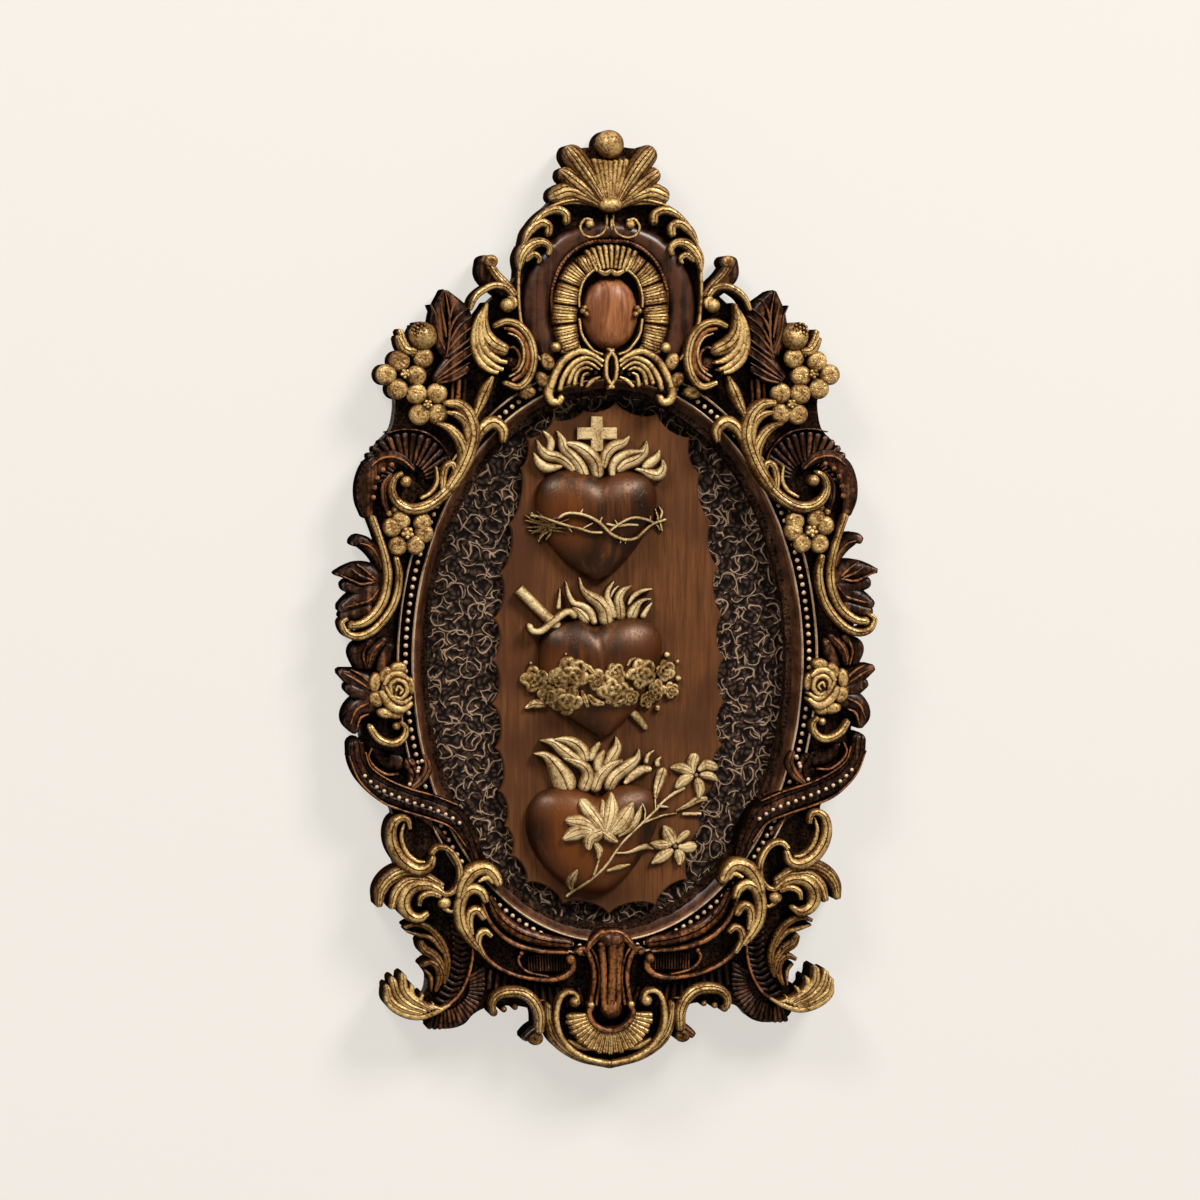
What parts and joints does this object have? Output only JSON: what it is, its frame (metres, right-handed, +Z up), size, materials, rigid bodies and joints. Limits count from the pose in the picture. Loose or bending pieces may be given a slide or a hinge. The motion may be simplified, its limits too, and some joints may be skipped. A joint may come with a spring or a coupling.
{
  "type": "carved devotional wall plaque",
  "caption": "Ornate carved walnut frame with an oval opening, holding a scalloped board with hearts, flames, thorns, dagger, roses and lilies in applied relief.",
  "frame": {"origin": "on the flat back of the frame, on its centre line, behind the crest", "axes": "+Z up, +X to the right seen from the front, +Y out of the back towards the wall"},
  "size_m": [0.3544, 0.0393, 0.5999],
  "materials": {
    "frame": "dark walnut with rubbed gold on the high carving",
    "ground": "near black with tan crackled ridges",
    "board": "satin reddish brown",
    "heart": "polished mahogany",
    "gilt": "matte pale gilding with a brown wash"
  },
  "bodies": {
    "root": {"frame": "frame", "ground_panel": "ground", "scalloped_board": "board", "cross": "gilt", "heart_upper": "heart", "heart_middle": "heart", "heart_lower": "heart", "flames_upper": "gilt", "flames_middle": "gilt", "flames_lower": "gilt", "crown_of_thorns": "gilt", "dagger_hilt": "gilt", "dagger_point": "gilt", "rose_garland": "gilt", "lily_spray": "gilt"}
  },
  "joints": []
}
